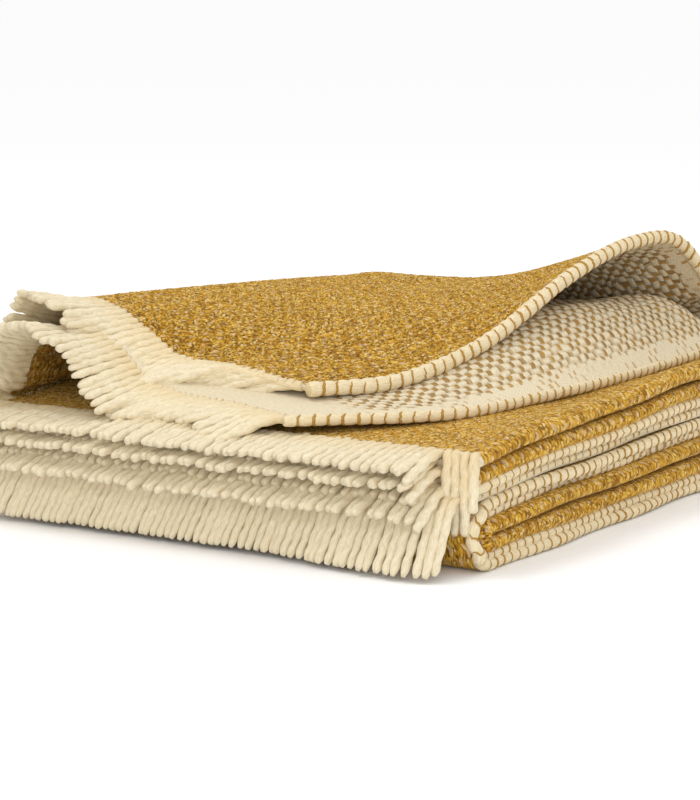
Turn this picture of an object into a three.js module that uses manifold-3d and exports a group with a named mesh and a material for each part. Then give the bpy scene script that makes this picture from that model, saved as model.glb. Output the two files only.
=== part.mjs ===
// Folded throw blanket: one woven cloth with a thick corded selvedge down each long edge and a
// cut fringe at each end, folded four deep across its width and four deep along its length.
// Millimetres, +Z up. The fringes face -Y, the stacked selvedges and rolled folds face +X, and
// the two topmost leaves are ruffled, with a free corner that lifts and turns back.
import * as THREE from 'three';
import { mergeVertices } from 'three/addons/utils/BufferGeometryUtils.js';
import Module from 'manifold-3d';

const wasm = await Module();
wasm.setup();

// ---- driving dimensions ----
const LEAVES = 16; // thicknesses of cloth in the pile, counted from the top
const CLOTH = 4.2; // thickness of the cloth
const PITCH = 5.15; // height that one leaf takes up in the pile
const GAP = 0.3; // clearance between pieces that touch
const FOLD_GAP = 0.5; // clearance between folds lying one inside another
const RIGHT = 175; // the face of selvedges and rolled folds
const LEFT = -172; // where the hidden side folds start to turn
const BACK = 436; // where the far folds start to turn
const RUFFLE_BACK = BACK - 2; // where the two ruffled leaves meet their far folds
const TIGHT_FOLD = 3.6; // how far the innermost of nested folds stands out
const LOOSE_EXTRA = 4; // the far folds of the two raised leaves each stand out further by this
const ROLL_REACH = 6.7; // how far a rolled fold stands out of its two leaves
const LOOSE_INNER_REACH = 10; // how far the top leaves' two loose side folds stand out
const LOOSE_OUTER_REACH = 16;
const CORD_HALF_WIDTH = 3.4;
const CORD_HALF_HEIGHT = 2.4;
const CORD_RECESS = 2; // the selvedge under another one lies back by this much
const FREE_CORD_RADIUS = 3;
const FREE_CORD_GAP = 1; // between a ruffled leaf's faceted edge and its cord
const FRINGE_LENGTH = 42;
const FRINGE_THICKNESS = 4.2;
const FRINGE_GAP = 1; // between a ruffled leaf's faceted edge and its fringe

// Which leaves show what on the +X face.
const DOUBLE_LEAVES = [3, 5, 11, 13]; // each is joined to the leaf below it by a rolled fold
const CORDED_LEAVES = [7, 8, 9, 10, 15, 16];
const CREAM_UP = [2, 8, 10];
const RECESSED_CORDS = [8, 10];

// How steeply each fringe row hangs at its tips, in degrees, from the top row of the pile down.
const FRINGE_DROOP = { 3: 7, 4: 9, 5: 11, 6: 16, 7: 21, 8: 62 };

// The free corner turns about this line, which runs over the ruffled leaves.
const TURN_FROM = new THREE.Vector3(-140, 0, 139);
const TURN_TO = new THREE.Vector3(92, 215, 136);

// Control points of the two ruffled leaves' middle surfaces: each row runs from the side fold to
// the free selvedge, and the rows run from the fringed edge to the far folds.
const SECOND_LEAF = [
  [[-169, 14, 80], [-158, 14, 104], [-132, 14, 118], [-95, 14, 113], [-70, 14, 92], [-40, 12, 84], [10, 4, 82], [50, -6, 80]],
  [[-169, 75, 80], [-158, 75, 104], [-132, 75, 117], [-95, 75, 116], [-60, 75, 105], [-20, 75, 97], [50, 74, 86.5], [113, 70, 79]],
  [[-169, 160, 80], [-158, 160, 101], [-132, 160, 115], [-95, 160, 115], [-50, 160, 109], [20, 160, 104], [85, 160, 101], [129, 160, 80]],
  [[-169, 260, 80], [-158, 260, 98], [-132, 260, 111], [-90, 260, 112], [-40, 260, 110], [40, 260, 110], [92, 260, 116], [136, 260, 81]],
  [[-169, 350, 80], [-158, 350, 95], [-132, 350, 105], [-90, 350, 107], [-40, 350, 106], [40, 350, 108], [96, 350, 112], [137, 350, 82]],
  [[-169, 400, 80], [-158, 400, 92], [-132, 400, 99], [-90, 400, 101], [-40, 400, 101], [40, 400, 105], [97, 400, 110], [138, 400, 82]],
  [[-169, RUFFLE_BACK, 81], [-158, RUFFLE_BACK, 84], [-132, RUFFLE_BACK, 86], [-90, RUFFLE_BACK, 86], [-40, RUFFLE_BACK, 86], [40, RUFFLE_BACK, 86], [98, RUFFLE_BACK, 86], [138, RUFFLE_BACK, 86]],
];
const TOP_LEAF = [
  [[-169, 50, 96], [-162, 48, 118], [-140, 45, 132], [-109, 38, 129], [-84, 36, 117], [-60, 36, 103], [-20, 36, 100], [35, 37, 92]],
  [[-169, 100, 96], [-162, 100, 116], [-140, 100, 130], [-105, 100, 128], [-60, 100, 119], [-20, 100, 110], [25, 98, 101], [64, 84, 93]],
  [[-169, 160, 96], [-162, 160, 113], [-140, 160, 127], [-100, 160, 126], [-50, 160, 120], [0, 160, 116], [45, 160, 112], [82, 155, 107]],
  [[-169, 260, 95], [-162, 260, 109], [-140, 260, 122], [-95, 260, 122], [-45, 260, 120], [10, 260, 121], [55, 260, 128], [94, 262, 143]],
  [[-169, 340, 94], [-162, 340, 106], [-140, 340, 117], [-95, 340, 118], [-45, 340, 117], [10, 340, 128], [60, 338, 143], [99, 336, 157]],
  [[-169, 395, 94], [-162, 395, 104], [-140, 395, 113], [-95, 395, 114], [-45, 395, 116], [10, 395, 124], [62, 394, 139], [105, 392, 153]],
  [[-169, RUFFLE_BACK, 95], [-162, RUFFLE_BACK, 95], [-140, RUFFLE_BACK, 95], [-95, RUFFLE_BACK, 95], [-45, RUFFLE_BACK, 95], [10, RUFFLE_BACK, 96], [65, RUFFLE_BACK, 102], [116, RUFFLE_BACK, 116]],
];

// ---- materials ----
const mustardCloth = new THREE.MeshStandardMaterial({ color: 0xc79a3c, roughness: 0.95, metalness: 0 });
const creamCloth = new THREE.MeshStandardMaterial({ color: 0xd9cba6, roughness: 0.95, metalness: 0 });
const creamYarn = new THREE.MeshStandardMaterial({ color: 0xe8dfc8, roughness: 0.9, metalness: 0 });

const blanket = new THREE.Group();
const pad = (leaf) => String(leaf).padStart(2, '0');
const leafHeight = (leaf) => (LEAVES - leaf) * PITCH + CLOTH / 2;

function addPiece(name, geometry, material, x = 0, y = 0, z = 0) {
  const piece = new THREE.Mesh(geometry, material);
  piece.name = name;
  piece.position.set(x, y, z);
  blanket.add(piece);
  return piece;
}

// ---- shapes ----

// An outline in X and Z, drawn out along +Y.
function alongY(shape, length, curveSegments = 8) {
  const geometry = new THREE.ExtrudeGeometry(shape, { depth: length, bevelEnabled: false, curveSegments });
  return geometry.rotateX(Math.PI / 2).translate(0, length, 0);
}

// An outline in Y and Z, drawn out along +X.
function alongX(shape, length, curveSegments = 8) {
  const geometry = new THREE.ExtrudeGeometry(shape, { depth: length, bevelEnabled: false, curveSegments });
  return geometry.rotateX(Math.PI / 2).rotateZ(Math.PI / 2);
}

// Half of a flattened ring: the cloth turning from one leaf into another. side is +1 or -1.
function foldShape(side, reach, outerHalf, innerHalf) {
  const shape = new THREE.Shape();
  const quarter = Math.PI / 2;
  const facing = side > 0 ? 0 : Math.PI;
  shape.moveTo(0, -side * outerHalf);
  shape.absellipse(0, 0, reach, outerHalf, facing - quarter, facing + quarter, false);
  if (innerHalf > 1) {
    shape.lineTo(0, side * innerHalf);
    shape.absellipse(0, 0, reach - CLOTH, innerHalf, facing + quarter, facing - quarter, true);
  }
  shape.closePath();
  return shape;
}

// The nested folds at one edge: level 0 is the innermost.
const nestedReach = (level) => TIGHT_FOLD + level * (CLOTH + FOLD_GAP);

function foldBetween(upper, lower, side, reach) {
  const half = (upper - lower) / 2;
  return foldShape(side, reach, half + CLOTH / 2, half - CLOTH / 2);
}

// Two leaves and the rolled fold that joins them at the +X face, as one C-shaped section.
function doubleLeafShape() {
  const half = PITCH / 2;
  const outer = half + CLOTH / 2;
  const inner = half - CLOTH / 2;
  const bend = RIGHT - ROLL_REACH;
  const shape = new THREE.Shape();
  shape.moveTo(LEFT, -outer);
  shape.lineTo(bend, -outer);
  shape.absellipse(bend, 0, ROLL_REACH, outer, -Math.PI / 2, Math.PI / 2, false);
  shape.lineTo(LEFT, outer);
  shape.lineTo(LEFT, inner);
  shape.lineTo(bend, inner);
  shape.lineTo(bend, -inner);
  shape.lineTo(LEFT, -inner);
  shape.closePath();
  return shape;
}

// A cloth-like sheet: a thin box laid on the surface that place(u, v) gives.
function sheet(acrossSteps, alongSteps, thickness, place) {
  const geometry = new THREE.BoxGeometry(1, 1, 1, acrossSteps, alongSteps, 1);
  const position = geometry.attributes.position;
  const step = 1e-3;
  for (let i = 0; i < position.count; i += 1) {
    const u = position.getX(i) + 0.5;
    const v = position.getY(i) + 0.5;
    const across = place(Math.min(u + step, 1), v).sub(place(Math.max(u - step, 0), v));
    const along = place(u, Math.min(v + step, 1)).sub(place(u, Math.max(v - step, 0)));
    const normal = across.cross(along).normalize();
    const point = place(u, v).addScaledVector(normal, position.getZ(i) * thickness);
    position.setXYZ(i, point.x, point.y, point.z);
  }
  return geometry;
}

// A smooth surface through rows of control points.
function loft(rows) {
  const toVector = ([x, y, z]) => new THREE.Vector3(x, y, z);
  const curves = rows.map((row) => new THREE.CatmullRomCurve3(row.map(toVector), false, 'centripetal'));
  return (u, v) => {
    const section = curves.map((curve) => curve.getPoint(u));
    return new THREE.CatmullRomCurve3(section, false, 'centripetal').getPoint(v);
  };
}

// ---- cuts ----

function toManifold(geometry) {
  const bare = geometry.clone();
  bare.deleteAttribute('normal');
  bare.deleteAttribute('uv');
  const merged = mergeVertices(bare, 1e-4);
  const mesh = new wasm.Mesh({
    numProp: 3,
    vertProperties: Float32Array.from(merged.attributes.position.array),
    triVerts: Uint32Array.from(merged.index.array),
  });
  return new wasm.Manifold(mesh);
}

function fromManifold(manifold) {
  const mesh = manifold.getMesh();
  const geometry = new THREE.BufferGeometry();
  geometry.setAttribute('position', new THREE.BufferAttribute(new Float32Array(mesh.vertProperties), 3));
  geometry.setIndex(new THREE.BufferAttribute(new Uint32Array(mesh.triVerts), 1));
  geometry.computeVertexNormals();
  return geometry;
}

// The upright half-space on one side of the turning line, half a gap clear of it.
function halfSpace(side) {
  const size = 1200;
  const along = TURN_TO.clone().sub(TURN_FROM).setZ(0).normalize();
  const geometry = new THREE.BoxGeometry(size, size, size);
  geometry.translate(0, -side * (size / 2 + GAP / 2), 0);
  geometry.rotateZ(Math.atan2(along.y, along.x));
  geometry.translate(TURN_FROM.x, TURN_FROM.y, TURN_FROM.z);
  return toManifold(geometry);
}

// Splits a piece into the free corner, in front of the turning line, and what stays behind it.
function addTurnedPiece(name, geometry, material) {
  const whole = toManifold(geometry);
  addPiece(`${name}_corner`, fromManifold(whole.intersect(halfSpace(1))), material);
  addPiece(`${name}_held`, fromManifold(whole.intersect(halfSpace(-1))), material);
}

// ---- the pile ----

function addSingleLeaf(leaf) {
  const front = leaf >= 9 ? nestedReach(3) + GAP : 0;
  const right = RIGHT - 2 * CORD_HALF_WIDTH - CORD_RECESS - GAP;
  const geometry = new THREE.BoxGeometry(right - LEFT, BACK - front, CLOTH);
  const material = CREAM_UP.includes(leaf) ? creamCloth : mustardCloth;
  addPiece(`leaf_${pad(leaf)}`, geometry, material, (right + LEFT) / 2, (front + BACK) / 2, leafHeight(leaf));
}

function addDoubleLeaf(leaf) {
  const front = leaf >= 9 ? nestedReach(3) + GAP : 0;
  const geometry = alongY(doubleLeafShape(), BACK - front);
  const middle = (leafHeight(leaf) + leafHeight(leaf + 1)) / 2;
  addPiece(`leaf_${pad(leaf)}_${pad(leaf + 1)}`, geometry, mustardCloth, 0, front, middle);
}

function addCord(leaf) {
  const front = leaf >= 9 ? nestedReach(3) + GAP : 0;
  const shape = new THREE.Shape();
  shape.absellipse(0, 0, CORD_HALF_WIDTH, CORD_HALF_HEIGHT, 0, 2 * Math.PI, false);
  const recess = RECESSED_CORDS.includes(leaf) ? CORD_RECESS : 0;
  const x = RIGHT - CORD_HALF_WIDTH - recess;
  const z = leafHeight(leaf) + CORD_HALF_HEIGHT - CLOTH / 2;
  addPiece(`selvedge_${pad(leaf)}`, alongY(shape, BACK - front, 6), creamYarn, x, front, z);
}

// The hidden side: leaves 1 to 4, 5 to 8, 9 to 12 and 13 to 16 each turn into one another.
function addSideFolds(first) {
  const front = first >= 9 ? nestedReach(3) + GAP : 0;
  const loose = first === 1;
  const heights = [0, 1, 2, 3].map((n) => leafHeight(first + n));
  if (loose) {
    heights[0] = TOP_LEAF[0][0][2];
    heights[1] = SECOND_LEAF[0][0][2];
  }
  const start = loose ? SECOND_LEAF[0][0][1] : front;
  const x = LEFT - GAP;
  const inner = foldBetween(heights[1], heights[2], -1, loose ? LOOSE_INNER_REACH : nestedReach(0));
  const outer = foldBetween(heights[0], heights[3], -1, loose ? LOOSE_OUTER_REACH : nestedReach(1));
  const innerName = `side_fold_${pad(first + 1)}_${pad(first + 2)}`;
  const outerName = `side_fold_${pad(first)}_${pad(first + 3)}`;
  addPiece(innerName, alongY(inner, BACK - start), mustardCloth, x, start, (heights[1] + heights[2]) / 2);
  addPiece(outerName, alongY(outer, BACK - start), mustardCloth, x, start, (heights[0] + heights[3]) / 2);
}

// The front: below the fringes, leaves 9 to 12 turn down into leaves 16 to 13.
function addFrontFold(level) {
  const upper = 12 - level;
  const lower = 13 + level;
  const right = upper <= 10 ? RIGHT : RIGHT - ROLL_REACH;
  const shape = foldBetween(leafHeight(upper), leafHeight(lower), -1, nestedReach(level));
  const middle = (leafHeight(upper) + leafHeight(lower)) / 2;
  addPiece(`front_fold_${pad(upper)}_${pad(lower)}`, alongX(shape, right - LEFT), mustardCloth, LEFT, nestedReach(3), middle);
}

// The far end: every leaf of the upper half turns down into one of the lower half.
function addFarFold(level) {
  const upper = 8 - level;
  const lower = 9 + level;
  const raised = { 1: TOP_LEAF.at(-1)[0][2], 2: SECOND_LEAF.at(-1)[3][2] };
  const top = raised[upper] ?? leafHeight(upper);
  const right = upper === 1 ? TOP_LEAF.at(-1).at(-1)[0] : RIGHT - ROLL_REACH;
  const extra = LOOSE_EXTRA * Math.max(0, level - 5);
  const shape = foldBetween(top, leafHeight(lower), 1, nestedReach(level) + extra);
  const middle = (top + leafHeight(lower)) / 2;
  addPiece(`far_fold_${pad(upper)}_${pad(lower)}`, alongX(shape, right - LEFT), mustardCloth, LEFT, BACK + GAP, middle);
}

// ---- fringes ----

// A fringe row's course: out of the edge, then down, until it hangs at its droop angle.
function droopPath(droopDegrees, length) {
  const droop = THREE.MathUtils.degToRad(droopDegrees);
  const steps = 40;
  const points = [new THREE.Vector2(0, 0)];
  for (let i = 0; i < steps; i += 1) {
    const angle = droop * THREE.MathUtils.smoothstep((i + 0.5) / steps, 0, 0.45);
    const last = points.at(-1);
    const step = length / steps;
    points.push(new THREE.Vector2(last.x + Math.cos(angle) * step, last.y - Math.sin(angle) * step));
  }
  return (t) => {
    const place = Math.min(Math.max(t, 0), 1) * steps;
    const index = Math.min(Math.floor(place), steps - 1);
    return points[index].clone().lerp(points[index + 1], place - index);
  };
}

function addPileFringe(leaf) {
  const path = droopPath(FRINGE_DROOP[leaf], FRINGE_LENGTH);
  const right = CORDED_LEAVES.includes(leaf) ? RIGHT - CORD_RECESS : RIGHT - ROLL_REACH / 2;
  const geometry = sheet(1, 8, FRINGE_THICKNESS, (u, v) => {
    const at = path(1 - v);
    const x = THREE.MathUtils.lerp(LEFT, right, u);
    return new THREE.Vector3(x, -GAP - at.x, leafHeight(leaf) + at.y);
  });
  addPiece(`fringe_${pad(leaf)}`, geometry, creamYarn);
}

// The fringe of a ruffled leaf follows the leaf's own edge and reaches straight out of it.
function ruffledFringe(surface, droopDegrees, steps) {
  const path = droopPath(droopDegrees, FRINGE_LENGTH);
  return sheet(steps, 3, FRINGE_THICKNESS, (u, v) => {
    const at = path(1 - v);
    const root = surface(u, 0);
    return new THREE.Vector3(root.x, root.y - FRINGE_GAP - at.x, root.z + at.y);
  });
}

// The free selvedge of a ruffled leaf: a round cord just outside the leaf's edge.
function freeCord(surface) {
  const steps = 24;
  const points = [];
  for (let i = 0; i <= steps; i += 1) {
    const edge = surface(1, i / steps);
    const outward = edge.clone().sub(surface(0.98, i / steps)).normalize();
    points.push(edge.addScaledVector(outward, FREE_CORD_RADIUS + FREE_CORD_GAP));
  }
  const shape = new THREE.Shape();
  shape.absellipse(0, 0, FREE_CORD_RADIUS, FREE_CORD_RADIUS, 0, 2 * Math.PI, false);
  const extrudePath = new THREE.CatmullRomCurve3(points);
  return new THREE.ExtrudeGeometry(shape, { steps, extrudePath, curveSegments: 4 });
}

function addRuffledLeaf(name, rows, material, droopDegrees) {
  const surface = loft(rows);
  const acrossSteps = 21;
  addTurnedPiece(name, sheet(acrossSteps, 18, CLOTH, surface), material);
  addTurnedPiece(`${name}_selvedge`, freeCord(surface), creamYarn);
  addTurnedPiece(`${name}_fringe`, ruffledFringe(surface, droopDegrees, acrossSteps), creamYarn);
}

DOUBLE_LEAVES.forEach(addDoubleLeaf);
CORDED_LEAVES.forEach(addSingleLeaf);
CORDED_LEAVES.forEach(addCord);
[1, 5, 9, 13].forEach(addSideFolds);
[0, 1, 2, 3].forEach(addFrontFold);
[0, 1, 2, 3, 4, 5, 6, 7].forEach(addFarFold);
[3, 4, 5, 6, 7, 8].forEach(addPileFringe);
addRuffledLeaf('top_leaf', TOP_LEAF, mustardCloth, 4);
addRuffledLeaf('second_leaf', SECOND_LEAF, creamCloth, 12);

// Stand the whole on z = 0 with the middle of its footprint at the origin.
const box = new THREE.Box3().setFromObject(blanket, true);
const middle = box.getCenter(new THREE.Vector3());
blanket.position.set(-middle.x, -middle.y, -box.min.z);
const throwBlanket = new THREE.Group();
throwBlanket.add(blanket);

export default throwBlanket;
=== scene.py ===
# A folded throw blanket: one woven cloth, mustard on one face and cream on the other, folded four
# deep across its width and four deep along its length. Lengths are in millimetres until a piece
# is made, and "across" and "along" are the cloth's own directions, weft and warp.
import math

import bpy
import numpy as np
from mathutils import Matrix, Vector


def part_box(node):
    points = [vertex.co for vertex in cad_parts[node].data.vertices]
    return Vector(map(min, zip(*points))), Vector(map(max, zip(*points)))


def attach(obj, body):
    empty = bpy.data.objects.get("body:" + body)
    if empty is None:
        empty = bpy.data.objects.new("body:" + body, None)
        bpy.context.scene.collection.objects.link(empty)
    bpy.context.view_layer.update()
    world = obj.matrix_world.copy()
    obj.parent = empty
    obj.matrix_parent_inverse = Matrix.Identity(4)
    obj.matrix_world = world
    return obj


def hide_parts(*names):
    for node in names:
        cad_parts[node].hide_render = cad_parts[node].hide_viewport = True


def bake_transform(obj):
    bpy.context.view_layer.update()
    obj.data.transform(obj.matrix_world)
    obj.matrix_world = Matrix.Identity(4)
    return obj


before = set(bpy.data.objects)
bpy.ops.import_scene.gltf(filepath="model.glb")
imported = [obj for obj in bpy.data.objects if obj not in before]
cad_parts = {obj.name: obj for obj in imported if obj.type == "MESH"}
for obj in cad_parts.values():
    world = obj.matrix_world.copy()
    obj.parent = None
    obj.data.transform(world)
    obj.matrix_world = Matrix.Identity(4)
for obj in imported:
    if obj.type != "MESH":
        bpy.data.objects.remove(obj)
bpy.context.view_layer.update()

# ---------------------------------------------------------------- driving dimensions
MM = 0.001
THIRD_LOW, THIRD_HIGH = (np.array(corner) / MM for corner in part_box("leaf_03_04"))
WIDTH = THIRD_HIGH[0] - THIRD_LOW[0]
RIGHT = 175.0  # the face of selvedges and rolled folds, from the middle of the pile
LEFT = RIGHT - WIDTH
BACK = THIRD_HIGH[1] - THIRD_LOW[1]  # the far folds start here, and the fringes at 0
ORIGIN = np.array([THIRD_HIGH[0] - RIGHT, THIRD_LOW[1], 0.0])

CLOTH = 4.2  # thickness
PITCH = 5.15  # from one leaf's middle to the next
LEAVES = 16
FAR_CENTRE = 8.5  # the far folds turn about the height between leaves 8 and 9
FRONT_CENTRE = 12.5
FRONT_TURN = 18.0  # where leaves 9 to 16 turn into one another, behind the fringes
RUFFLE_BACK = BACK - 2
RUFFLE_LEFT = -169.0
ROLL_REACH = 4.6
ROLL_BULGE = 2.0  # how far the rolled folds stand out past RIGHT
# How the pile thickens from front to back, as (share of the height, from y, to y).
INSIDE_RISE = ((0.07, 5, 90), (0.03, 200, 436))
ROLL_RISE = ((0.13, -10, 110), (0.07, 90, 300))
SIDE_REACH = {"outer": 6.2, "inner": 1.9}
LOOSE_SIDE_REACH = {"outer": 13.9, "inner": 7.9}
FOLD_SQUASH = 0.92  # the far folds are a little flatter than round
FAR_FOLD_ANGLES = (70, 45, 20, -5, -30, -60, -90)  # the ruffled leaves' control rows round it

PILLOW_WIDTH = 5.4  # the weave's pattern on the cream face
PILLOW_LENGTH = 10.5
WOVEN_FROM = {"selvedge": (9.0, 19.0), "fringe": (40.0, 70.0)}  # it sets in this far from each edge

CORD_RADIUS = 3.4
# Each stacked selvedge's radius, and how far it stands out and up from where its leaf ends.
CORDS = {7: (3.7, 0.0, 1.6), 8: (3.2, -3.8, 0.5), 9: (3.8, 0.2, -0.6), 10: (3.2, -3.8, -0.8),
         15: (3.4, -0.6, 1.3), 16: (3.9, 2.0, 1.8)}
FREE_CORD_RADIUS = {"top_leaf": 4.7, "second_leaf": 3.6}
CORD_SPACING = 1.1  # of the rings along a cord
CORD_SIDES = 16
WRAP_PITCH = 8.8
WRAP_RADIUS = 0.72
WRAP_REACH = 118  # degrees round the cord to each side
WRAP_POINTS = 13
WRAP_SIDES = 6
WRAP_SINK = 0.85  # the wraps' middles lie a little inside the cord
FREE_WRAP_BOLD = 1.3  # the loose leaves' wraps are thicker

FINE, COARSE = 1.25, 4.0  # spacing of the shown cloth's points, and of the hidden cloth's
# How far in from the selvedge a ruffled leaf's points are fine. The top leaf is narrower than this,
# so all of it is fine, and its first rows of points, hidden in the left-hand fold, coincide.
FINE_WIDTH = {"top_leaf_cloth": 350, "second_leaf_cloth": 190}
SAMPLES = 400  # places at which a surface's length is measured
EDGE_SAMPLES = 700  # points of a free selvedge's path before it is resampled
SIDE_TURN_STEPS, END_TURN_STEPS = 10, 21  # the steps of a fold at a side and at an end
PILLOW_RELIEF = 0.7  # how far the weave's pillows stand up
GRAIN_RELIEF = 0.8  # how far the mustard face's floats do

STRAND_LENGTH = {"top_leaf": 50.0, "second_leaf": 44.0}
STRAND_RADIUS = 3.15
ROOT_DEPTH = 1.5  # of the strands' roots in the cloth
STRAND_RINGS = 24
STRAND_SIDES = 12
STRAND_LOBES = 0.2  # how far its two plies pinch it in
STRAND_TWIST = 24.0  # the length of one turn of the plies


def row_at(y, *places):
    """A control row of a ruffled leaf that runs straight across it, through places in x and z."""
    return [(x, y, z) for x, z in places]


# Control rows across the two ruffled leaves, from the left-hand fold to the selvedge, front to back.
SECOND_LEAF = [
    [(RUFFLE_LEFT, 14, 80), (-158, 14, 104), (-132, 14, 118), (-95, 14, 113),
     (-70, 14, 92), (-40, 12, 84), (10, 4, 82), (50, -6, 80)],
    [(RUFFLE_LEFT, 75, 80), (-158, 75, 104), (-132, 75, 117), (-95, 75, 116),
     (-60, 75, 105), (-20, 75, 97), (50, 74, 86.5), (113, 70, 79)],
    row_at(160, (RUFFLE_LEFT, 80), (-158, 101), (-132, 115), (-95, 115), (-50, 109), (20, 104),
           (85, 101), (129, 80)),
    row_at(260, (RUFFLE_LEFT, 80), (-158, 98), (-132, 111), (-90, 112), (-40, 110), (40, 110),
           (92, 116), (136, 81)),
    row_at(350, (RUFFLE_LEFT, 80), (-158, 95), (-132, 105), (-90, 107), (-40, 106), (40, 108),
           (96, 112), (137, 82)),
    row_at(400, (RUFFLE_LEFT, 80), (-158, 92), (-132, 99), (-90, 101), (-40, 101), (40, 105),
           (97, 110), (138, 82)),
    row_at(RUFFLE_BACK, (RUFFLE_LEFT, 81), (-158, 84), (-132, 86), (-90, 86), (-40, 86), (40, 86),
           (98, 86), (138, 86)),
]
TOP_LEAF = [
    [(RUFFLE_LEFT, 50, 96), (-162, 48, 118), (-140, 45, 132), (-109, 38, 129),
     (-84, 36, 117), (-60, 36, 103), (-20, 36, 100), (35, 37, 92)],
    [(RUFFLE_LEFT, 100, 96), (-162, 100, 116), (-140, 100, 130), (-105, 100, 128),
     (-60, 100, 119), (-20, 100, 110), (25, 98, 101), (64, 84, 93)],
    [(RUFFLE_LEFT, 160, 96), (-162, 160, 113), (-140, 160, 127), (-100, 160, 126),
     (-50, 160, 120), (0, 160, 116), (45, 160, 112), (82, 155, 107)],
    [(RUFFLE_LEFT, 260, 95), (-162, 260, 109), (-140, 260, 122), (-95, 260, 122),
     (-45, 260, 120), (10, 260, 121), (55, 260, 128), (94, 262, 143)],
    [(RUFFLE_LEFT, 340, 94), (-162, 340, 106), (-140, 340, 117), (-95, 340, 118),
     (-45, 340, 117), (10, 340, 128), (60, 338, 143), (99, 336, 157)],
    [(RUFFLE_LEFT, 395, 94), (-162, 395, 104), (-140, 395, 113), (-95, 395, 114),
     (-45, 395, 116), (10, 395, 124), (62, 394, 139), (105, 392, 153)],
    row_at(RUFFLE_BACK, (RUFFLE_LEFT, 95), (-162, 95), (-140, 95), (-95, 95), (-45, 95), (10, 96),
           (65, 102), (116, 116)),
]


# ---------------------------------------------------------------- camera
CAMERA_PLACE = np.array([932.3, -1324.3, 348.9])
CAMERA_AZIMUTH = math.radians(32.5)
CAMERA_ELEVATION = math.radians(9.2)
CAMERA_LENS = 123.3


def make_camera():
    data = bpy.data.cameras.new("camera")
    data.sensor_width = 36
    data.lens = CAMERA_LENS
    data.clip_start = 0.05
    camera = bpy.data.objects.new("camera", data)
    level = Matrix.Rotation(math.pi / 2 - CAMERA_ELEVATION, 4, "X")
    turn = Matrix.Rotation(CAMERA_AZIMUTH, 4, "Z") @ level
    camera.matrix_world = Matrix.Translation(Vector((CAMERA_PLACE + ORIGIN) * MM)) @ turn
    bpy.context.collection.objects.link(camera)
    bpy.context.scene.camera = camera


# ---------------------------------------------------------------- small maths
def leaf_height(leaf):
    return (LEAVES - leaf) * PITCH + CLOTH / 2


def smooth(value, low, high):
    """0 below low, 1 above high, and a smooth step between them."""
    t = np.clip((np.asarray(value, float) - low) / (high - low), 0, 1)
    return t * t * (3 - 2 * t)


def unit(vectors):
    return vectors / np.maximum(np.linalg.norm(vectors, axis=-1, keepdims=True), 1e-9)


def ripples(seed, wavelength, count=7):
    """A smooth unevenness of about -1 to 1 over two coordinates."""
    rng = np.random.default_rng(seed)
    angles = rng.uniform(0, 2 * math.pi, count)
    phases = rng.uniform(0, 2 * math.pi, count)
    lengths = wavelength * rng.uniform(0.7, 1.6, count)

    def value(a, b):
        total = 0.0
        for angle, phase, length in zip(angles, phases, lengths):
            forward = a * math.cos(angle) + b * math.sin(angle)
            total = total + np.sin(forward * 2 * math.pi / length + phase)
        return total / math.sqrt(count)

    return value


def smooth_curve(points, places):
    """Points at places from 0 to 1 along a smooth curve through points, whose first axis is along it."""
    points = np.asarray(points, float)
    last = len(points) - 1
    before, after = 2 * points[:1] - points[1:2], 2 * points[-1:] - points[-2:-1]
    padded = np.concatenate([before, points, after])
    scaled = np.clip(places, 0, 1) * last
    index = np.minimum(scaled.astype(int), last - 1)
    t = (scaled - index).reshape((-1,) + (1,) * (points.ndim - 1))
    p0, p1, p2, p3 = (padded[index + k] for k in range(4))
    d0, d1, d2 = (
        np.maximum(np.linalg.norm(b - a, axis=-1, keepdims=True), 1e-6) ** 0.5
        for a, b in ((p0, p1), (p1, p2), (p2, p3))
    )
    m1 = d1 * ((p1 - p0) / d0 - (p2 - p0) / (d0 + d1) + (p2 - p1) / d1)
    m2 = d1 * ((p2 - p1) / d1 - (p3 - p1) / (d1 + d2) + (p3 - p2) / d2)
    return p1 + m1 * t + (3 * (p2 - p1) - 2 * m1 - m2) * t**2 + (2 * (p1 - p2) + m1 + m2) * t**3


def arc_lengths(points, axis):
    """How far along each line of a grid its points are."""
    steps = np.linalg.norm(np.diff(points, axis=axis), axis=-1)
    start = np.zeros_like(np.take(steps, [0], axis=axis))
    return np.concatenate([start, np.cumsum(steps, axis=axis)], axis=axis)


def stations(*stretches):
    """Places along a line: each stretch is (from, to, spacing)."""
    places = [
        np.linspace(start, end, max(int(round(abs(end - start) / step)), 1), endpoint=False)
        for start, end, step in stretches
    ]
    return np.concatenate([*places, [stretches[-1][1]]])


# ---------------------------------------------------------------- how the pile lies
edge_sway = ripples(11, 95)
layer_sway = ripples(12, 120)
height_sway = ripples(13, 150)
across_drift = ripples(61, 18)
along_drift = ripples(62, 20)


def settle(points):
    """Turns the pile's ideal leaves into the way they lie: thicker at the rolled folds, and uneven."""
    x, y, z = (points[..., k] for k in range(3))
    inside, at_folds = (
        sum(share * smooth(y, start, end) for share, start, end in rises)
        for rises in (INSIDE_RISE, ROLL_RISE)
    )
    rise = inside + (at_folds - inside) * smooth(x, 142, 169)
    calm = smooth(y, 0, 60)
    uneven = 0.016 * height_sway(x, y) * calm
    near_edge = smooth(x, 120, 172)
    sway = 1.1 * edge_sway(y, z * 9) + 0.7 * layer_sway(y, z * 16)
    settled = np.stack([x + near_edge * sway, y, z * (1 + rise + uneven)], axis=-1)
    beyond = settled[..., 1] - BACK
    settled[..., 1] = np.where(beyond > 0, BACK + beyond * FOLD_SQUASH, settled[..., 1])
    return settled


# ---------------------------------------------------------------- meshes
def to_frame(points):
    return (np.asarray(points, float).reshape(-1, 3) + ORIGIN) * MM


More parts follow.
